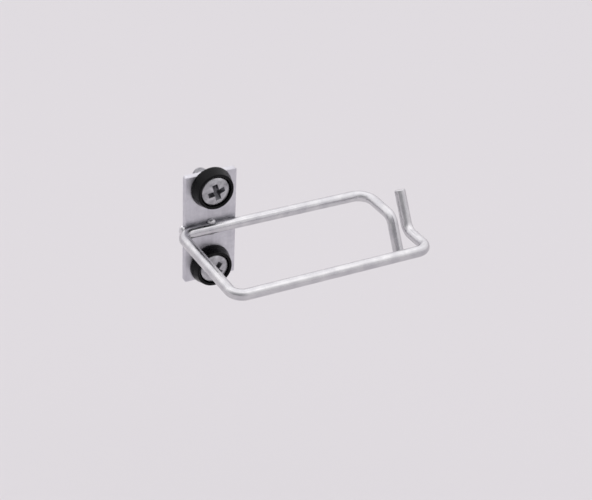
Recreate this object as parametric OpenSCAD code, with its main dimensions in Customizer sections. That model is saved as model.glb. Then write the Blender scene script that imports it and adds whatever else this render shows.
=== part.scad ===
// Horizontal D-ring cable hook for a rack post. A steel strip is screwed to the post, and one
// length of wire, bent into a ring that is open at its far end, is welded across it. The
// plate's back face lies on y = 0, the ring reaches forward along -Y and aside along +X.

/* [Plate] */
// Width of the plate, across the post
plate_w = 20; // [17:0.5:30]
// Height of the plate
plate_h = 43; // [42:0.5:60]
// Thickness of the plate
plate_t = 2; // [1.5:0.1:4]
// Radius of the plate's four corners
plate_corner_r = 1; // [0.5:0.1:3]
// Width of the broken edge round the plate's front face
plate_edge = 0.3; // [0.1:0.05:0.5]

/* [Ring] */
// Diameter of the wire
wire_d = 4; // [3:0.1:5]
// Outside length of the ring, along the rack's front
ring_len = 80; // [65:1:120]
// Clear depth inside the ring, from the post forwards
ring_depth = 40; // [35:1:80]
// How far the ring stands out past the plate's left edge
ring_past_plate = 4.5; // [2:0.1:8]
// Inside radius of the two left bends and of the front right one
corner_inside_r = 2.5; // [1.5:0.1:4]
// Inside radius of the back right bend, which is laid wider
wide_inside_r = 4; // [2:0.1:6]
// How much thinner the wire is drawn in a bend, on the diameter
bend_thinning = 0.04; // [0.04:0.01:0.2]
// How far the weld has flattened the wire against the plate
weld_flat = 0.3; // [0.1:0.05:0.6]
// Radius of the weld's hollow seam along the wire
weld_seam_r = 0.8; // [0.4:0.1:1.5]
// How far the weld's seam stops short of the plate's edge and of the bend
weld_inset = 1.2; // [0.5:0.1:4]
// Radius of the bead that each seam carries at the plate's middle
weld_bead_r = 1.1; // [0.8:0.1:1.6]

/* [Mouth] */
// Clear gap between the two bent ends, across their slant
mouth_gap = 5.8; // [3:0.1:10]
// How far the mouth lies in front of the ring's mid depth
mouth_forward = 2.2; // [0:0.1:5]
// Lean of the ends away from upright
end_lean = 30; // [15:1:45]
// Length of each end from its leg's centre line to its tip
end_len = 15; // [10:0.5:25]
// Inside radius of the bend into each end
end_inside_r = 3; // [1.5:0.1:4]
// Width of the broken edge on the wire's tips
tip_edge = 0.5; // [0.2:0.1:1]

/* [Screws] */
// Distance between the two screws
screw_pitch = 31.75; // [28:0.25:33]
// Outside diameter of the thread
thread_d = 6; // [5:0.1:6]
// Diameter of the plain neck that the thread leaves under the head
neck_d = 5.3; // [4:0.1:5.5]
// Length of the screw under its head
screw_len = 12; // [10:1:25]
// Diameter of the head
head_d = 11; // [9.5:0.1:12]
// Height of the head
head_h = 3.6; // [3:0.1:4.5]
// Radius of the head's crown
crown_r = 12; // [8:0.5:20]
// Radius of the head's rounded edge
head_edge_r = 1.2; // [0.5:0.1:1.5]
// Width of the cross recess at the crown
recess_w = 7.2; // [4:0.1:8]
// Thickness of the recess's wings
recess_wing = 1.9; // [1:0.1:2.2]
// Depth of the recess under the crown
recess_depth = 2.4; // [1.5:0.1:2.8]
// Play round the thread in the plate's holes, on the diameter
plate_hole_play = 1; // [0.3:0.1:2]

/* [Cup washers] */
// Height of the washer
washer_h = 4.4; // [3:0.1:6]
// Thickness of the washer's floor
washer_floor = 1.4; // [0.8:0.1:2]
// Thickness of the washer's wall at its rim
washer_wall = 1.1; // [0.8:0.1:2]
// How far the foot spreads past the rim, all round
washer_foot = 0.9; // [0.3:0.1:1.5]
// Height of the foot's upright edge
foot_edge = 0.6; // [0.2:0.1:1]
// Play round the head in the cup, on the diameter
cup_play = 0.6; // [0.2:0.1:1.2]
// Play round the thread in the washer's hole, on the diameter
washer_hole_play = 0.4; // [0.2:0.1:1]

/* [Hidden] */
$fn = 96;
// turn of each screw's recess
upper_turn = 15;
lower_turn = 50;
// how far a cut runs past the surface it cuts
past = 1;
// how far each bend reaches into the straights beside it, where its thinner wire stays inside
bend_lap = 0.25;
// height of the weld seam's blunt toe, and how far the seam's hollow bites into the wire
seam_toe = 0.12;
seam_bite = 0.05;
// how far a weld bead's centre lies in front of the plate, as a share of its radius
bead_rise = 0.7;
// width of the recess's narrow end, as a share of its wings' thickness
recess_taper = 1.3;

wire_r = wire_d / 2;
corner_r = corner_inside_r + wire_r;
wide_r = wide_inside_r + wire_r;
end_r = end_inside_r + wire_r;
end_bend = 90 - end_lean;

// centre lines of the ring's four sides
back_y = -plate_t - wire_r + weld_flat;
front_y = back_y - ring_depth - wire_d;
left_x = -plate_w / 2 - ring_past_plate + wire_r;
right_x = left_x + ring_len - wire_d;
half_depth = (back_y - front_y) / 2;
middle_y = (back_y + front_y) / 2;

// distance from the mouth's middle to each leg's end, along the leg
mouth_half = (mouth_gap + wire_d) / 2 / cos(end_lean);
front_leg = half_depth - mouth_forward - mouth_half;
back_leg = half_depth + mouth_forward - mouth_half;
// what the bend into an end takes from the straight on each side of it
end_take = end_r * tan(end_bend / 2);

cup_d = head_d + cup_play;
rim_d = cup_d + 2 * washer_wall;
foot_d = rim_d + 2 * washer_foot;
neck_len = washer_floor + plate_t;

// A bend that starts along +Z and turns towards +X
module elbow(radius, bend) {
    lap_turn = bend_lap / radius * 180 / PI;
    translate([radius, 0, 0])
        rotate([90, lap_turn, 180])
            rotate_extrude(angle = bend + 2 * lap_turn)
                translate([radius, 0])
                    circle(d = wire_d - bend_thinning);
}

// Wire that feeds along +Z. Each row is [feed, turn about the wire, bend, bend's radius], and
// the children sit on its far end.
module bent_wire(rows, i = 0) {
    feed = rows[i][0];
    turn = rows[i][1];
    bend = rows[i][2];
    radius = rows[i][3];
    cylinder(h = feed, d = wire_d);
    translate([0, 0, feed])
        rotate([0, 0, turn]) {
            if (bend > 0)
                elbow(radius, bend);
            translate(radius * [1 - cos(bend), 0, sin(bend)])
                rotate([0, bend, 0])
                    if (i + 1 < len(rows))
                        bent_wire(rows, i + 1) children();
                    else
                        children();
        }
}

// Half of the ring, from the middle of its left side to one end
module half_ring(far_r, leg) {
    bent_wire([
        [half_depth - corner_r, 0, 90, corner_r],
        [ring_len - wire_d - corner_r - far_r, 0, 90, far_r],
        [leg - far_r - end_take, 90, end_bend, end_r],
        [end_len - end_take - tip_edge, 0, 0, 0]
    ])
        cylinder(h = tip_edge, d1 = wire_d, d2 = wire_d - 2 * tip_edge);
}

// Hollow fillets of weld metal above and below the wire, along its straight on the plate,
// each with a round bead in the plate's middle
module weld_seams() {
    from_x = left_x + corner_r + weld_inset;
    to_x = plate_w / 2 - weld_inset;
    hollow_y = -plate_t - seam_toe - weld_seam_r;
    hollow_z = sqrt(pow(wire_r + weld_seam_r - seam_bite, 2) - pow(hollow_y - back_y, 2));
    for (side = [0, 1])
        mirror([0, 0, side]) {
            translate([from_x, 0, 0])
                rotate([90, 0, 90])
                    linear_extrude(to_x - from_x)
                        difference() {
                            polygon([[back_y, 0], [-plate_t, 0],
                                     [-plate_t, hollow_z], [hollow_y, hollow_z]]);
                            translate([hollow_y, hollow_z])
                                circle(r = weld_seam_r);
                        }
            translate([0, -plate_t - bead_rise * weld_bead_r, wire_r])
                sphere(r = weld_bead_r);
        }
}

module wire_ring() {
    color("gainsboro")
        difference() {
            union() {
                translate([left_x, middle_y, 0]) {
                    rotate([90, 0, 0])
                        half_ring(corner_r, front_leg);
                    rotate([-90, 0, 0])
                        half_ring(wide_r, back_leg);
                }
                weld_seams();
            }
            translate([-plate_w / 2, -plate_t, -plate_h / 2])
                cube([plate_w, plate_t, plate_h]);
        }
}

// A bar's cross section with the two edges of its front face broken
module edged_section(width) {
    polygon([[-width / 2, 0], [width / 2, 0], [width / 2, plate_t - plate_edge],
             [width / 2 - plate_edge, plate_t], [-width / 2 + plate_edge, plate_t],
             [-width / 2, plate_t - plate_edge]]);
}

module plate_outline() {
    inner_w = plate_w - 2 * plate_corner_r;
    inner_h = plate_h - 2 * plate_corner_r;
    square([inner_w, plate_h], center = true);
    square([plate_w, inner_h], center = true);
    for (x = [-1, 1], z = [-1, 1])
        translate([x * inner_w / 2, z * inner_h / 2])
            circle(r = plate_corner_r);
}

module mounting_plate() {
    color("silver")
        difference() {
            intersection() {
                rotate([90, 0, 0])
                    linear_extrude(plate_t)
                        plate_outline();
                translate([0, 0, -plate_h / 2])
                    rotate([0, 0, 180])
                        linear_extrude(plate_h)
                            edged_section(plate_w);
                translate([-plate_w / 2, 0, 0])
                    rotate([90, 0, 90])
                        linear_extrude(plate_w)
                            rotate([0, 0, 90])
                                edged_section(plate_h);
            }
            for (side = [-1, 1])
                translate([0, past, side * screw_pitch / 2])
                    rotate([90, 0, 0])
                        cylinder(h = plate_t + 2 * past, d = thread_d + plate_hole_play);
        }
}

// Puts what stands along +Z from the plate's front face on one screw's axis, facing forward
module at_screw(side) {
    translate([0, -plate_t, side * screw_pitch / 2])
        rotate([90, 0, 0])
            children();
}

module cup_washer() {
    color("#1a1a1c")
        rotate_extrude()
            difference() {
                union() {
                    polygon([[0, 0], [foot_d / 2, 0], [foot_d / 2, foot_edge],
                             [rim_d / 2, washer_h - washer_wall / 2], [0, washer_h - washer_wall / 2]]);
                    translate([(cup_d + washer_wall) / 2, washer_h - washer_wall / 2])
                        circle(d = washer_wall);
                }
                translate([0, washer_floor])
                    square([cup_d / 2, washer_h]);
                translate([0, -past])
                    square([(thread_d + washer_hole_play) / 2, washer_h]);
            }
}

// Half section of the head, flat underneath and crowned on top
module head_section() {
    intersection() {
        union() {
            square([head_d / 2 - head_edge_r, head_h]);
            square([head_d / 2, head_h - head_edge_r]);
            translate([head_d / 2 - head_edge_r, head_h - head_edge_r])
                circle(r = head_edge_r);
        }
        translate([0, head_h - crown_r])
            circle(r = crown_r);
        square([head_d, head_h]);
    }
}

// Cross with tapered wings, standing on its narrow end
module cross_recess() {
    intersection() {
        cylinder(h = recess_depth, d1 = recess_taper * recess_wing, d2 = recess_w);
        union()
            for (turn = [0, 90])
                rotate([0, 0, turn])
                    translate([-recess_w / 2, -recess_wing / 2, 0])
                        cube([recess_w, recess_wing, recess_depth]);
    }
}

// The screw stands on its head's underside, with its shank along -Z
module screw(turn) {
    color("lightgray") {
        difference() {
            rotate_extrude()
                head_section();
            translate([0, 0, head_h - recess_depth])
                rotate([0, 0, turn])
                    cross_recess();
        }
        translate([0, 0, -neck_len])
            cylinder(h = neck_len, d = neck_d);
        translate([0, 0, -screw_len + (thread_d - neck_d) / 2])
            cylinder(h = screw_len - neck_len - (thread_d - neck_d) / 2, d = thread_d);
        translate([0, 0, -screw_len])
            cylinder(h = (thread_d - neck_d) / 2, d1 = neck_d, d2 = thread_d);
    }
}

module cup_washer_upper() {
    at_screw(1)
        cup_washer();
}

module cup_washer_lower() {
    at_screw(-1)
        cup_washer();
}

module screw_upper() {
    at_screw(1)
        translate([0, 0, washer_floor])
            screw(upper_turn);
}

module screw_lower() {
    at_screw(-1)
        translate([0, 0, washer_floor])
            screw(lower_turn);
}

mounting_plate();
wire_ring();
cup_washer_upper();
cup_washer_lower();
screw_upper();
screw_lower();
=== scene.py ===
import math

import bmesh
import bpy
from mathutils import Matrix, Quaternion, Vector


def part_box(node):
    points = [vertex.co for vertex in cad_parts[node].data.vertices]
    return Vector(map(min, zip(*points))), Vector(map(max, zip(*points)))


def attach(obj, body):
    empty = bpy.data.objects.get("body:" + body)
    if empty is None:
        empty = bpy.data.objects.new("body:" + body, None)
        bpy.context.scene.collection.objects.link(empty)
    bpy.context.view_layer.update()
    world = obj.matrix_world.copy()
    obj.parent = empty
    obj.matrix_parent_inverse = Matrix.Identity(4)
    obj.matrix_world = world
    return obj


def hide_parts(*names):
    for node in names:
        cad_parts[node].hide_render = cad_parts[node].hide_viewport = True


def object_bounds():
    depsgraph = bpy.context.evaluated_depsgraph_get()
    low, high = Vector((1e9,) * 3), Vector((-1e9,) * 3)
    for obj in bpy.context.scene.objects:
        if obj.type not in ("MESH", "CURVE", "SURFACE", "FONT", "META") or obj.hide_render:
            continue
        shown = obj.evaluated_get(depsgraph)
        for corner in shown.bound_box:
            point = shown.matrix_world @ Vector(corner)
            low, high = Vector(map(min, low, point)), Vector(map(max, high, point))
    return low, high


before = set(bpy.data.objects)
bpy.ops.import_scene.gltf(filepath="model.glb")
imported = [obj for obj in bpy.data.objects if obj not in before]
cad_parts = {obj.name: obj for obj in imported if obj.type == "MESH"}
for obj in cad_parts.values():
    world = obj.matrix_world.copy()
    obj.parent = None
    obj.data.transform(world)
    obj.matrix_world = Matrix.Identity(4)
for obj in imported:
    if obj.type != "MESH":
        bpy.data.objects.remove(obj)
cadBox = [list(corner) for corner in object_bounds()]
low, high = (Vector(corner) for corner in cadBox)
middle = (low + high) / 2
mm = 0.001
root = "root"
noiseSpan = (0.3, 0.7)  # the values that a noise mostly takes
plateLow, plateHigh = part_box("mounting_plate")
ringLow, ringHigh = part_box("wire_ring")
print("frame loaded, its box is", [round((b - a) / mm, 1) for a, b in zip(low, high)], "mm")


# Helpers for node trees

def newMaterial(name, **uniform):
    material = bpy.data.materials.new(name)
    material.use_nodes = True
    shader = material.node_tree.nodes["Principled BSDF"]
    for socket, value in uniform.items():
        shader.inputs[socket.replace("_", " ")].default_value = value
    return material, material.node_tree, shader


def addNode(tree, kind, inputs=None, **settings):
    node = tree.nodes.new(kind)
    for name, value in settings.items():
        setattr(node, name, value)
    for name, value in (inputs or {}).items():
        if isinstance(value, bpy.types.NodeSocket):
            tree.links.new(value, node.inputs[name])
        else:
            node.inputs[name].default_value = value
    return node


def maths(tree, operation, *values):
    return addNode(tree, "ShaderNodeMath", dict(enumerate(values)), operation=operation).outputs[0]


def placeOnObject(tree):
    place = addNode(tree, "ShaderNodeTexCoord").outputs["Object"]
    return addNode(tree, "ShaderNodeSeparateXYZ", {"Vector": place}).outputs


def cloud(tree, pattern, attribute=None):
    # noise over the object, or over the wire as it was before it was bent. A pattern is the noise's
    # scale along x, y and z, its detail and its roughness
    scale, detail, roughness = pattern
    if attribute:
        place = addNode(tree, "ShaderNodeAttribute", attribute_name=attribute).outputs["Vector"]
    else:
        place = addNode(tree, "ShaderNodeTexCoord").outputs["Object"]
    scaled = addNode(tree, "ShaderNodeMapping", {"Vector": place, "Scale": scale}).outputs["Vector"]
    return addNode(tree, "ShaderNodeTexNoise", {
        "Vector": scaled, "Scale": 1.0, "Detail": detail, "Roughness": roughness,
    }).outputs["Fac"]


def remap(tree, value, span, results):
    return addNode(tree, "ShaderNodeMapRange", {
        "Value": value,
        "From Min": span[0], "From Max": span[1],
        "To Min": results[0], "To Max": results[1],
    }).outputs["Result"]


def blendColours(tree, factor, first, second):
    node = addNode(tree, "ShaderNodeMix", data_type="RGBA")
    tree.links.new(factor, node.inputs[0])
    for socket, colour in ((node.inputs[6], first), (node.inputs[7], second)):
        if isinstance(colour, bpy.types.NodeSocket):
            tree.links.new(colour, socket)
        else:
            socket.default_value = (*colour, 1)
    return node.outputs[2]


def finishShader(tree, shader, colour, roughness, height, depth):
    bump = addNode(tree, "ShaderNodeBump", {"Height": height, "Strength": 1.0, "Distance": depth})
    tree.links.new(colour, shader.inputs["Base Color"])
    tree.links.new(roughness, shader.inputs["Roughness"])
    tree.links.new(bump.outputs["Normal"], shader.inputs["Normal"])


def speckledMetal(name, finish, look):
    # metal in blotches of two tones, with a fine grain in its gloss and its relief
    colour, shade, roughness = finish
    material, tree, shader = newMaterial(name, Metallic=1.0)
    grain = cloud(tree, look["grain"])
    blotches = remap(tree, cloud(tree, look["blotches"]), look["blotchSpan"], (0, 1))
    tone = blendColours(tree, blotches, colour, shade)
    finishShader(tree, shader, tone, remap(tree, grain, noiseSpan, roughness), grain, look["relief"])
    return material


# Helpers for objects and meshes

def addObject(name, data):
    thing = bpy.data.objects.new(name, data)
    bpy.context.scene.collection.objects.link(thing)
    return thing


def newPiece(name, mesh, surfaces, node=None):
    data = bpy.data.meshes.new(name)
    mesh.to_mesh(data)
    mesh.free()
    for surface in surfaces:
        data.materials.append(surface)
    piece = addObject(name, data)
    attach(piece, root)
    if node:
        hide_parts(node)


def coverNode(name, surface):
    # a better material for a node that keeps its shape
    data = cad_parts[name].data
    data.materials.clear()
    data.materials.append(surface)


def skin(mesh, rings):
    # quads between closed rings of vertices that all have the same count
    count = len(rings[0])
    for near, far in zip(rings, rings[1:]):
        for i in range(count):
            j = (i + 1) % count
            mesh.faces.new((near[i], near[j], far[j], far[i])).smooth = True


def closeToPoint(mesh, ring, point):
    tip = mesh.verts.new(point)
    for i, vertex in enumerate(ring):
        mesh.faces.new((vertex, ring[(i + 1) % len(ring)], tip)).smooth = True


# Bright drawn wire

wire = {
    "radius": 2.0 * mm,
    "cornerBend": 4.5 * mm,             # centre line radius of the two left bends and the front right one
    "wideBend": 6.0 * mm,               # and of the back right one
    "endBend": 5.0 * mm,                # and of the bend into each end
    "mouthGap": 5.8 * mm,
    "mouthForward": 2.2 * mm,
    "endLean": math.radians(30),
    "endLength": 15.0 * mm,
    "tipEdge": 0.5 * mm,                # radius of the rounding round each cut end
    "tipSteps": 5,
    "around": 64,
    "bendStep": math.radians(4),
    "straightStep": 1.5 * mm,
    "colour": (0.68, 0.675, 0.685),
    "shade": (0.52, 0.515, 0.54),
    "lines": ((1500, 1500, 10), 5, 0.7),    # left by drawing
    "blotches": ((210, 210, 210), 4, 0.55),
    "toneSpan": (0.14, 0.36),
    "roughSpan": (0.1, 0.42),
    "roughness": (0.22, 0.13),
    "relief": 0.12 * mm,
    "paintedWireShade": (0.20, 0.20, 0.215),       # painted shade: the wire darkened where it meets the plate
    "paintedWireShadeNear": (2.3 * mm, 1.4 * mm),  # distances from the plate where the painted shade begins and is full
    "paintedWireShadeMost": 0.9,
    "paintedWireShadePast": (-2.0 * mm, 1.0 * mm), # where it fades, from the plate's sides outward
    "paintedWireShadeRise": (-0.5 * mm, 0.8 * mm), # it is weaker under the wire than above
    "paintedWireShadeUnder": 0.25,
    "paintedWireShadeRough": 0.18,
    "cut": (0.40, 0.40, 0.415),         # sheared ends
    "cutPale": (0.54, 0.54, 0.555),
    "cutGrain": ((2500, 2500, 2500), 5, 0.6),
    "cutRoughness": (0.35, 0.6),
    "cutRelief": 0.08 * mm,
}


def wireCorners():
    r = wire["radius"]
    left, right = ringLow.x + r, ringHigh.x - r
    front, back = ringLow.y + r, ringHigh.y - r
    centreY = (front + back) / 2 - wire["mouthForward"]
    half = (wire["mouthGap"] / 2 + r) / math.cos(wire["endLean"])
    lean = Vector((0, math.sin(wire["endLean"]), math.cos(wire["endLean"]))) * wire["endLength"]
    frontLeg = Vector((right, centreY - half, 0))
    backLeg = Vector((right, centreY + half, 0))
    return [
        (frontLeg + lean, 0),
        (frontLeg, wire["endBend"]),
        (Vector((right, front, 0)), wire["cornerBend"]),
        (Vector((left, front, 0)), wire["cornerBend"]),
        (Vector((left, back, 0)), wire["cornerBend"]),
        (Vector((right, back, 0)), wire["wideBend"]),
        (backLeg, wire["endBend"]),
        (backLeg - lean, 0),
    ]


def centreLine(corners):
    # points along the bent wire: straights between the corners and an arc in each of them
    points = [corners[0][0]]

    def straightTo(end):
        start = points[-1]
        steps = max(1, round((end - start).length / wire["straightStep"]))
        points.extend(start.lerp(end, i / steps) for i in range(1, steps + 1))

    for (before, _), (corner, radius), (after, _) in zip(corners, corners[1:], corners[2:]):
        come, go = (corner - before).normalized(), (after - corner).normalized()
        bend = come.angle(go)
        straightTo(corner - come * radius * math.tan(bend / 2))
        start = points[-1]
        axis = come.cross(go).normalized()
        centre = start + axis.cross(come) * radius
        steps = math.ceil(bend / wire["bendStep"])
        for i in range(1, steps + 1):
            points.append(centre + Quaternion(axis, bend * i / steps) @ (start - centre))
    straightTo(corners[-1][0])
    return points


def wireSection(mesh, layer, point, across, tangent, radius, travelled):
    side = tangent.cross(across)
    ring = []
    for i in range(wire["around"]):
        turn = math.tau * i / wire["around"]
        place = point + (across * math.cos(turn) + side * math.sin(turn)) * radius
        if plateLow.x < place.x < plateHigh.x:
            place.y = min(place.y, plateLow.y)  # the weld has flattened the wire against the plate
        vertex = mesh.verts.new(place)
        vertex[layer] = Vector((math.cos(turn) * radius, math.sin(turn) * radius, travelled))
        ring.append(vertex)
    return ring


def tipSections(tip, inward):
    # centres and radii from the cut face to the full wire
    edge, steps = wire["tipEdge"], wire["tipSteps"]
    turns = [math.pi / 2 * i / steps for i in range(steps + 1)]
    return [
        (tip + inward * edge * (1 - math.cos(turn)), wire["radius"] - edge * (1 - math.sin(turn)))
        for turn in turns
    ]


def buildWire():
    points = centreLine(wireCorners())
    sections = [(point, wire["radius"]) for point in points[1:-1]]
    sections = tipSections(points[0], (points[1] - points[0]).normalized()) + sections
    sections += reversed(tipSections(points[-1], (points[-2] - points[-1]).normalized()))
    centres = [centre for centre, _ in sections]
    tangents = [(b - a).normalized() for a, b in zip(centres, centres[1:])]
    mesh = bmesh.new()
    layer = mesh.verts.layers.float_vector.new("straightWire")
    across = tangents[0].orthogonal().normalized()
    rings, travelled = [], 0.0
    for i, (centre, radius) in enumerate(sections):
        before, after = tangents[max(i - 1, 0)], tangents[min(i, len(tangents) - 1)]
        if i > 0:
            travelled += (centre - centres[i - 1]).length
        halfTurn = before.rotation_difference((before + after).normalized())
        across = (halfTurn @ across).normalized()
        rings.append(wireSection(mesh, layer, centre, across, halfTurn @ before, radius, travelled))
        across = (halfTurn @ across).normalized()
    skin(mesh, rings)
    for ring in (rings[0], rings[-1]):
        mesh.faces.new(ring).material_index = 1
    bmesh.ops.recalc_face_normals(mesh, faces=mesh.faces)
    return mesh


def paintedWireShadeMask(tree):
    # painted shade: how dark the wire is made where it meets the plate, on the plate's side of the wire,
    # along the plate's width
    x, y, z = placeOnObject(tree)
    near = [plateLow.y - distance for distance in wire["paintedWireShadeNear"]]
    ends = [plateHigh.x + past for past in wire["paintedWireShadePast"]]
    across = remap(tree, y, near, (0, wire["paintedWireShadeMost"]))
    along = remap(tree, maths(tree, "ABSOLUTE", x), ends, (1, 0))
    upward = remap(tree, z, wire["paintedWireShadeRise"], (wire["paintedWireShadeUnder"], 1))
    return maths(tree, "MULTIPLY", maths(tree, "MULTIPLY", across, along), upward)


def brightWireMaterial():
    material, tree, shader = newMaterial("brightZincWire", Metallic=1.0)
    lines = cloud(tree, wire["lines"], "straightWire")
    tone = maths(tree, "MULTIPLY", lines, cloud(tree, wire["blotches"]))
    darker = remap(tree, tone, wire["toneSpan"], (1, 0))
    zinc = blendColours(tree, darker, wire["colour"], wire["shade"])
    # painted shade on the wire where it meets the plate, stronger on its upper side
    shadeMask = paintedWireShadeMask(tree)
    gloss = remap(tree, tone, wire["roughSpan"], wire["roughness"])
    roughness = maths(tree, "ADD", gloss, maths(tree, "MULTIPLY", shadeMask, wire["paintedWireShadeRough"]))
    colour = blendColours(tree, shadeMask, zinc, wire["paintedWireShade"])
    finishShader(tree, shader, colour, roughness, lines, wire["relief"])
    return material


def cutWireMaterial():
    material, tree, shader = newMaterial("cutWireEnd", Metallic=1.0)
    grain = cloud(tree, wire["cutGrain"])
    colour = blendColours(tree, grain, wire["cut"], wire["cutPale"])
    roughness = remap(tree, grain, noiseSpan, wire["cutRoughness"])
    finishShader(tree, shader, colour, roughness, grain, wire["cutRelief"])
    return material


newPiece("bentWire", buildWire(), [brightWireMaterial(), cutWireMaterial()], "wire_ring")
print("wire bent")


# Weld: a rippled hollow seam above and below the wire, each with a bead, and one bead beside the plate

weld = {
    "from": -6.3 * mm,          # the seams' ends along the wire
    "to": 8.8 * mm,
    "legOut": 1.15 * mm,        # reach of the seam along the wire's side, out from the plate
    "legUp": 0.75 * mm,         # and along the plate, away from the wire
    "hollow": 0.105,            # how deep its face sinks, as a share of its width
    "ripple": 0.06 * mm,
    "ripplePitch": 0.55 * mm,
    "step": 0.09 * mm,
    "across": 12,
    "runOut": 0.9 * mm,         # length over which it thins to each end
    "thinnest": 0.02,
    "intoWire": 0.02 * mm,
    "intoPlate": 0.01 * mm,
    "bead": Vector((1.65, 1.10, 1.05)) * mm,        # half sizes of the bead in each seam's middle
    "beadRise": 0.77 * mm,
    "sideBead": Vector((1.25, 1.45, 2.4)) * mm,     # and of the one between the plate's side and the bend
    "sideBeadAt": Vector((-0.85, 0.35, 0.0)) * mm,  # its place from the plate's left front edge
    "beadAround": 40,
    "beadDown": 24,
    "beadWave": 16.0,           # radians of ripple from a bead's middle to its top
    "beadRipple": 0.012,
    "grain": ((1500, 1500, 1500), 5, 0.6),
    "blotches": ((420, 420, 420), 3, 0.5),
    "blotchSpan": (0.35, 0.65),
    "relief": 0.03 * mm,
    "finishes": {
        # colour, darker colour and roughness
        # the seams are darker than the beads: weld metal, with painted shade of the crevice where they
        # lie
        "weldMetalAndPaintedShade": ((0.34, 0.335, 0.35), (0.17, 0.17, 0.185), (0.30, 0.44)),
        "weldBead": ((0.66, 0.655, 0.67), (0.50, 0.495, 0.51), (0.24, 0.38)),
        # the bead beside the plate is paler than the other beads: a painted highlight
        "weldSideBeadPaintedHighlight": ((0.86, 0.855, 0.87), (0.70, 0.695, 0.71), (0.12, 0.26)),
    },
}


def seamSection(x):
    # outline across the upper seam: from the wire's side to the plate, then the corner between them
    front = plateLow.y
    radius = wire["radius"]
    axisY = ringHigh.y - radius
    fade = min(1, (x - weld["from"]) / weld["runOut"], (weld["to"] - x) / weld["runOut"])
    fade = math.sqrt(max(fade, weld["thinnest"]))
    ripple = weld["ripple"] * math.sin(math.tau * x / weld["ripplePitch"])
    startY = front - weld["legOut"] * fade
    startZ = math.sqrt(radius ** 2 - (startY - axisY) ** 2) - weld["intoWire"]
    footZ = math.sqrt(radius ** 2 - (front - axisY) ** 2)
    start = Vector((startY, startZ))
    end = Vector((front + weld["intoPlate"], footZ + weld["legUp"] * fade))
    outward = Vector((start.y - end.y, end.x - start.x)).normalized()
    if outward.x > 0:
        outward.negate()
    points = []
    for i in range(weld["across"] + 1):
        share = i / weld["across"]
        bulge = math.sin(math.pi * share)
        offset = (ripple - weld["hollow"] * (end - start).length) * bulge * fade
        points.append(start.lerp(end, share) + outward * offset)
    points.append(Vector((end.x, footZ - weld["intoWire"])))
    return points


def seam(mesh, side):
    length = weld["to"] - weld["from"]
    steps = round(length / weld["step"])
    rings = []
    for i in range(steps + 1):
        x = weld["from"] + length * i / steps
        rings.append([mesh.verts.new((x, y, z * side)) for y, z in seamSection(x)])
    skin(mesh, rings)
    for ring in (rings[0], rings[-1]):
        mesh.faces.new(ring)


def bead(mesh, centre, half, surface):
    # a drop of weld metal with faint rings where it set, flattened against the plate
    ball = bmesh.ops.create_uvsphere(
        mesh, u_segments=weld["beadAround"], v_segments=weld["beadDown"], radius=1)["verts"]
    for vertex in ball:
        x, y, z = vertex.co
        swell = 1 - weld["beadRipple"] * math.sin(z * weld["beadWave"])
        vertex.co = Vector((x * swell * half.x, -z * half.y, y * swell * half.z)) + centre
        intoFront, intoSide = vertex.co.y - plateLow.y, vertex.co.x - plateLow.x
        if 0 < intoFront < intoSide:
            vertex.co.y = plateLow.y + weld["intoPlate"]
        elif 0 < intoSide <= intoFront:
            vertex.co.x = plateLow.x + weld["intoPlate"]
    for face in {face for vertex in ball for face in vertex.link_faces}:
        face.smooth = True
        face.material_index = surface


def buildWeld():
    mesh = bmesh.new()
    for side in (1, -1):
        seam(mesh, side)
    bmesh.ops.recalc_face_normals(mesh, faces=mesh.faces)
    for side in (1, -1):
        bead(mesh, Vector((0, plateLow.y - weld["beadRise"], wire["radius"] * side)), weld["bead"], 1)
    bead(mesh, Vector((plateLow.x, plateLow.y, 0)) + weld["sideBeadAt"], weld["sideBead"], 2)
    return mesh


weldSurfaces = [speckledMetal(name, finish, weld) for name, finish in weld["finishes"].items()]
newPiece("weldSeams", buildWeld(), weldSurfaces)
print("weld laid")


# Zinc-plated strip

plate = {
    "colour": (0.69, 0.685, 0.725),
    "shade": (0.58, 0.575, 0.615),
    "grain": ((3400, 3400, 110), 4, 0.6),   # left by rolling
    "blotches": ((230, 230, 230), 5, 0.6),
    "spangle": ((900, 900, 700), 3, 0.5),
    "toneSpan": (0.28, 0.72),
    "roughness": (0.46, 0.34),
    "relief": 0.03 * mm,
    "paintedPlateShade": (0.30, 0.30, 0.32),           # painted shade on the plate beside the wire
    "paintedPlateShadeBand": (2.4 * mm, 4.4 * mm),     # full, and gone, at these distances from the wire's axis
    "paintedPlateShadeWander": 2.0 * mm,
    "paintedPlateShadeRise": (-1.0 * mm, 1.0 * mm),    # it is weaker below the wire than above
    "paintedPlateShadeStrength": (0.12, 0.40),
}


def plateMaterial():
    material, tree, shader = newMaterial("zincStrip", Metallic=1.0)
    grain = cloud(tree, plate["grain"])
    blotches = cloud(tree, plate["blotches"])
    lines = maths(tree, "ADD", grain, cloud(tree, plate["spangle"]))
    tone = maths(tree, "MULTIPLY", lines, blotches)
    darker = remap(tree, tone, plate["toneSpan"], (1, 0))
    zinc = blendColours(tree, darker, plate["colour"], plate["shade"])
    # painted shade in a band on the plate beside the wire, stronger above it than below
    height = placeOnObject(tree)["Z"]
    wander = maths(tree, "MULTIPLY", blotches, plate["paintedPlateShadeWander"])
    fromWeld = maths(tree, "ADD", maths(tree, "ABSOLUTE", height), wander)
    strength = remap(tree, height, plate["paintedPlateShadeRise"], plate["paintedPlateShadeStrength"])
    shadeMask = maths(tree, "MULTIPLY", remap(tree, fromWeld, plate["paintedPlateShadeBand"], (1, 0)), strength)
    colour = blendColours(tree, shadeMask, zinc, plate["paintedPlateShade"])
    roughness = remap(tree, blotches, noiseSpan, plate["roughness"])
    finishShader(tree, shader, colour, roughness, grain, plate["relief"])
    return material


coverNode("mounting_plate", plateMaterial())
print("plate finished")


# Black moulded cup washers

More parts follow.
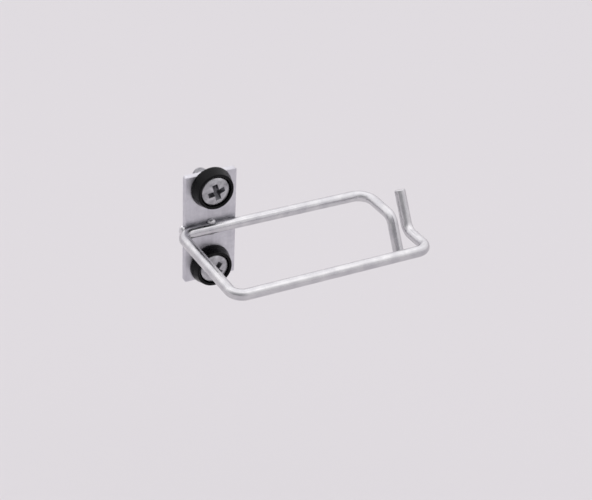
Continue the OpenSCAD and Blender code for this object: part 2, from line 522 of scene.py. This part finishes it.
washer = {
    "colour": (0.0015, 0.0015, 0.002),
    "pale": (0.004, 0.004, 0.005),
    "specular": 0.13,
    "grain": ((1800, 1800, 1800), 4, 0.6),
    "flow": ((300, 300, 300), 3, 0.5),
    "roughness": (0.22, 0.32),
    "relief": 0.03 * mm,
}


def washerMaterial():
    material, tree, shader = newMaterial("blackNylon", Specular_IOR_Level=washer["specular"])
    flow = cloud(tree, washer["flow"])
    colour = blendColours(tree, flow, washer["colour"], washer["pale"])
    roughness = remap(tree, flow, noiseSpan, washer["roughness"])
    finishShader(tree, shader, colour, roughness, cloud(tree, washer["grain"]), washer["relief"])
    return material


for name in ("cup_washer_upper", "cup_washer_lower"):
    coverNode(name, washerMaterial())
print("washers finished")


# Zinc-plated screws: a crowned pan head with a cross recess, a plain neck and a rolled M6 thread

screw = {
    "headRadius": 5.5 * mm,
    "headHeight": 3.6 * mm,
    "crown": 12.0 * mm,
    "crownSteps": 6,
    "edge": 0.7 * mm,
    "edgeSteps": 10,
    "underEdge": 0.12 * mm,
    "wingReach": 3.18 * mm,         # half sizes of the recess at the crown
    "wingHalf": 0.98 * mm,
    "footReach": 1.25 * mm,         # and at its floor
    "footHalf": 0.72 * mm,
    "recessDepth": 2.4 * mm,
    "recessPoint": 0.25 * mm,       # depth of the cone in its floor
    "wallShares": (0.12, 0.4, 0.7, 1.0),
    "lip": 0.12 * mm,
    "lipShares": (0.0, 0.35, 0.75, 1.0),
    "cornerTurns": (0.06, 0.14),    # extra directions just past each corner of the cross, in radians
    "wingShares": (0.55, 0.7, 0.85, 1.0),   # and on to the diagonal, as shares of an eighth of a turn
    "turns": {"screw_upper": math.radians(15), "screw_lower": math.radians(50)},
    "neckRadius": 2.65 * mm,
    "neckLength": 3.4 * mm,
    "intoHead": 0.3 * mm,
    "length": 12.0 * mm,
    "threadRadius": 3.0 * mm,
    "rootRadius": 2.39 * mm,
    "pitch": 1.0 * mm,
    "crestShare": 0.16,             # the crest ends and the root begins at these shares of half a pitch
    "rootShare": 0.84,
    "runIn": 0.8 * mm,              # the thread grows out of the neck over this length
    "around": 64,
    "perPitch": 20,
    "tipRadius": 2.3 * mm,
    "tipSlope": 1.1,                # radius gained for each length back from the tip
    "dimple": 0.25 * mm,
    "dimpleRadius": 1.84 * mm,
    "dimpleFoot": (0.805 * mm, 0.2 * mm),   # radius and depth of the ring round its lowest point
    "sharp": math.radians(38),      # a sharper edge than this isn't shaded smooth
    "grain": ((2600, 2600, 2600), 4, 0.6),
    "blotches": ((520, 520, 520), 3, 0.5),
    "blotchSpan": noiseSpan,
    "relief": 0.03 * mm,
    "finishes": {
        # colour, darker colour and roughness
        "zincScrew": ((0.60, 0.598, 0.62), (0.32, 0.32, 0.335), (0.26, 0.40)),
        # the recess is the head's zinc darkened: painted shade
        "screwRecessPaintedShade": ((0.18, 0.18, 0.195), (0.18, 0.18, 0.195), (0.45, 0.59)),
    },
}


def crownHeight(r):
    # height of the head's top over its underside: a crown that runs smoothly into a rounded edge
    crown, edge = screw["crown"], screw["edge"]
    crownBase = screw["headHeight"] - crown
    edgeStart = screw["headRadius"] - edge
    if r <= edgeStart * crown / (crown - edge):
        return crownBase + math.sqrt(crown ** 2 - r ** 2)
    edgeBase = crownBase + math.sqrt((crown - edge) ** 2 - edgeStart ** 2)
    return edgeBase + math.sqrt(max(edge ** 2 - (r - edgeStart) ** 2, 0))


def crossReach(angle, reach, half):
    # distance from the recess's axis to its outline, in one direction
    c, s = max(abs(math.cos(angle)), 1e-6), max(abs(math.sin(angle)), 1e-6)
    return max(min(reach / c, half / s), min(reach / s, half / c))


def crossAngles():
    # directions all round, with one to each corner of the cross
    corner = math.atan2(screw["wingHalf"], screw["wingReach"])
    eighth = [0, corner / 2, corner]
    eighth += [corner + turn for turn in screw["cornerTurns"]]
    eighth += [math.pi / 4 * share for share in screw["wingShares"]]
    eighth.sort()
    quarter = eighth + [math.pi / 2 - angle for angle in reversed(eighth[1:-1])]
    return [turn * math.pi / 2 + angle for turn in range(4) for angle in quarter]


def ringAt(mesh, angles, radii, heights):
    spots = zip(angles, radii, heights)
    return [mesh.verts.new((r * math.cos(angle), r * math.sin(angle), z)) for angle, r, z in spots]


def roundRing(mesh, angles, radius, height):
    return ringAt(mesh, angles, [radius] * len(angles), [height] * len(angles))


def buildRecess(mesh, angles, mouth):
    # its wings shorten and narrow towards the floor, which is a shallow cone
    reach, half = screw["wingReach"], screw["wingHalf"]
    floor = screw["headHeight"] - screw["recessDepth"]
    depth = crownHeight(reach) - screw["lip"] - floor
    before = set(mesh.faces)
    walls = [mouth]
    for share in screw["wallShares"]:
        wallReach = reach + (screw["footReach"] - reach) * share
        wallHalf = half + (screw["footHalf"] - half) * share
        radii = [crossReach(angle, wallReach, wallHalf) for angle in angles]
        walls.append(ringAt(mesh, angles, radii, [floor + depth * (1 - share)] * len(angles)))
    skin(mesh, walls)
    closeToPoint(mesh, walls[-1], (0, 0, floor - screw["recessPoint"]))
    for face in set(mesh.faces) - before:
        face.material_index = 1


def buildHead(mesh):
    reach, half, lip = screw["wingReach"], screw["wingHalf"], screw["lip"]
    angles = crossAngles()
    edgeStart = screw["headRadius"] - screw["edge"]
    rings = [
        roundRing(mesh, angles, screw["neckRadius"], 0.0),
        roundRing(mesh, angles, screw["headRadius"] - screw["underEdge"], 0.0),
        roundRing(mesh, angles, screw["headRadius"], screw["underEdge"]),
    ]
    for i in range(screw["edgeSteps"]):
        r = edgeStart + screw["edge"] * math.cos(math.pi / 2 * i / screw["edgeSteps"])
        rings.append(roundRing(mesh, angles, r, crownHeight(r)))
    for i in range(screw["crownSteps"]):
        share = i / screw["crownSteps"]
        outline = [crossReach(angle, reach + lip, half + lip) for angle in angles]
        radii = [edgeStart + (r - edgeStart) * share for r in outline]
        rings.append(ringAt(mesh, angles, radii, [crownHeight(r) for r in radii]))
    for share in screw["lipShares"]:
        grow, drop = lip * (1 - share), lip * share ** 2
        radii = [crossReach(angle, reach + grow, half + grow) for angle in angles]
        rings.append(ringAt(mesh, angles, radii, [crownHeight(r) - drop for r in radii]))
    skin(mesh, rings)
    mesh.faces.new(rings[0])
    buildRecess(mesh, angles, rings[-1])


def threadRadius(depth, angle):
    # rolled thread: flat crests and roots joined by straight flanks, rounded where they meet
    phase = (depth / screw["pitch"] - angle / math.tau) % 1
    rise = abs(phase - 0.5) * 2
    share = (screw["rootShare"] - rise) / (screw["rootShare"] - screw["crestShare"])
    share = min(max(share, 0), 1)
    share = share * share * (3 - 2 * share)
    return screw["rootRadius"] + (screw["threadRadius"] - screw["rootRadius"]) * share


def shankRadius(depth, angle):
    # the thread grows out of the neck and ends in the tip's slope
    grown = min((depth - screw["neckLength"]) / screw["runIn"], 1)
    radius = screw["neckRadius"] + (threadRadius(depth, angle) - screw["neckRadius"]) * grown
    return min(radius, screw["tipRadius"] + (screw["length"] - depth) * screw["tipSlope"])


def buildShank(mesh):
    around, start, end = screw["around"], screw["neckLength"], screw["length"]
    angles = [math.tau * i / around for i in range(around)]
    steps = round((end - start) / screw["pitch"] * screw["perPitch"])
    neck = (screw["intoHead"], -start / 2, -start)
    rings = [roundRing(mesh, angles, screw["neckRadius"], height) for height in neck]
    mesh.faces.new(rings[0])
    for i in range(1, steps + 1):
        depth = start + (end - start) * i / steps
        radii = [shankRadius(depth, angle) for angle in angles]
        rings.append(ringAt(mesh, angles, radii, [-depth] * around))
    footRadius, footDepth = screw["dimpleFoot"]
    rings.append(roundRing(mesh, angles, screw["dimpleRadius"], -end))
    rings.append(roundRing(mesh, angles, footRadius, -end + footDepth))
    skin(mesh, rings)
    closeToPoint(mesh, rings[-1], (0, 0, -end + screw["dimple"]))


def buildScrew(node):
    mesh = bmesh.new()
    buildHead(mesh)
    bmesh.ops.transform(mesh, matrix=Matrix.Rotation(screw["turns"][node], 4, "Z"), verts=mesh.verts)
    buildShank(mesh)
    boxLow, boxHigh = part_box(node)
    centre = (boxLow + boxHigh) / 2
    seat = Vector((centre.x, boxHigh.y - screw["length"], centre.z))
    stand = Matrix.Translation(seat) @ Matrix.Rotation(math.pi / 2, 4, "X")
    bmesh.ops.transform(mesh, matrix=stand, verts=mesh.verts)
    bmesh.ops.recalc_face_normals(mesh, faces=mesh.faces)
    for edge in mesh.edges:
        edge.smooth = edge.calc_face_angle(0) <= screw["sharp"]
    return mesh


screwSurfaces = [speckledMetal(name, finish, screw) for name, finish in screw["finishes"].items()]
for name, node in (("upperScrew", "screw_upper"), ("lowerScrew", "screw_lower")):
    newPiece(name, buildScrew(node), screwSurfaces, node)
print("screws finished")


# Studio: floor, sky, one soft lamp and the camera

studio = {
    "floorDrop": 0.11,                  # floor below the object's lowest point
    "floorHalf": 4.0,
    "floorCells": 8,
    "floorColour": (0.685, 0.665, 0.685),
    "floorRoughness": 0.9,
    "paper": ((3, 3, 3), 3, 0.5),
    "paperShade": 0.99,
    "brightSide": (0.0, 0.35, 0.94),    # the sky is brightest overhead and behind
    "brightSpan": (-0.35, 0.75),
    "brightest": (1.21, 1.19, 1.21),
    "palest": (0.80, 0.785, 0.80),
    "dimSide": (-0.72, -0.68, 0.0),     # and dimmer in front, to the left
    "dimSpan": (0.1, 1.0),
    "dim": (0.30, 0.30, 0.31),
    "horizon": (0.745, 0.715, 0.745),   # as the lit floor, so that low views show no edge
    "horizonSpan": (0.10, 0.20),
    "lampFrom": Vector((0.05, 0.15, 0.90)),     # from the object's middle
    "lampSize": 1.5,
    "lampPower": 1.4,
}


def makeFloor():
    mesh = bmesh.new()
    cells = studio["floorCells"]
    bmesh.ops.create_grid(mesh, x_segments=cells, y_segments=cells, size=studio["floorHalf"])
    data = bpy.data.meshes.new("studioFloor")
    mesh.to_mesh(data)
    mesh.free()
    floor = addObject("studioFloor", data)
    floor.location = (middle.x, middle.y, low.z - studio["floorDrop"])
    material, tree, shader = newMaterial("studioPaper", Roughness=studio["floorRoughness"])
    shade = [value * studio["paperShade"] for value in studio["floorColour"]]
    colour = blendColours(tree, cloud(tree, studio["paper"]), studio["floorColour"], shade)
    tree.links.new(colour, shader.inputs["Base Color"])
    data.materials.append(material)


def makeSky():
    world = bpy.data.worlds.new("studioWorld")
    bpy.context.scene.world = world
    world.use_nodes = True
    tree = world.node_tree
    direction = addNode(tree, "ShaderNodeTexCoord").outputs["Generated"]
    height = addNode(tree, "ShaderNodeSeparateXYZ", {"Vector": direction}).outputs["Z"]

    def towards(side, span):
        dot = addNode(tree, "ShaderNodeVectorMath", {0: direction, 1: side}, operation="DOT_PRODUCT")
        return remap(tree, dot.outputs["Value"], span, (0, 1))

    overhead = towards(studio["brightSide"], studio["brightSpan"])
    frontLeft = towards(studio["dimSide"], studio["dimSpan"])
    risen = remap(tree, height, studio["horizonSpan"], (0, 1))
    colour = blendColours(tree, overhead, studio["palest"], studio["brightest"])
    colour = blendColours(tree, frontLeft, colour, studio["dim"])
    colour = blendColours(tree, risen, studio["horizon"], colour)
    tree.links.new(colour, tree.nodes["Background"].inputs["Color"])


def makeLamp():
    light = bpy.data.lights.new("overheadSoftbox", "AREA")
    light.shape = "SQUARE"
    light.size = studio["lampSize"]
    light.energy = studio["lampPower"]
    lamp = addObject("overheadSoftbox", light)
    lamp.location = middle + studio["lampFrom"]
    lamp.rotation_mode = "QUATERNION"
    lamp.rotation_quaternion = (-studio["lampFrom"]).to_track_quat("-Z", "Y")


camera = {
    "azimuth": math.radians(-29.72),
    "elevation": math.radians(31.04),
    "roll": math.radians(2.97),
    "distance": 0.5177,
    "aim": Vector((-1.5, -1.9, -4.7)) * mm,     # from the object's middle
    "lens": 88.42,
    "sensorWidth": 36.0,
    "nearest": 0.01,
    "farthest": 50.0,
}


def makeCamera():
    azimuth, elevation = camera["azimuth"], camera["elevation"]
    level = math.cos(elevation)
    back = Vector((math.sin(azimuth) * level, -math.cos(azimuth) * level, math.sin(elevation)))
    data = bpy.data.cameras.new("studioCamera")
    data.lens = camera["lens"]
    data.sensor_width = camera["sensorWidth"]
    data.sensor_fit = "HORIZONTAL"
    data.clip_start = camera["nearest"]
    data.clip_end = camera["farthest"]
    eye = addObject("studioCamera", data)
    eye.rotation_mode = "QUATERNION"
    eye.rotation_quaternion = (-back).to_track_quat("-Z", "Y") @ Quaternion((0, 0, 1), camera["roll"])
    eye.location = middle + camera["aim"] + back * camera["distance"]
    bpy.context.scene.camera = eye


makeFloor()
makeSky()
makeLamp()
makeCamera()
bpy.context.scene.view_settings.view_transform = "Standard"
print("studio ready")
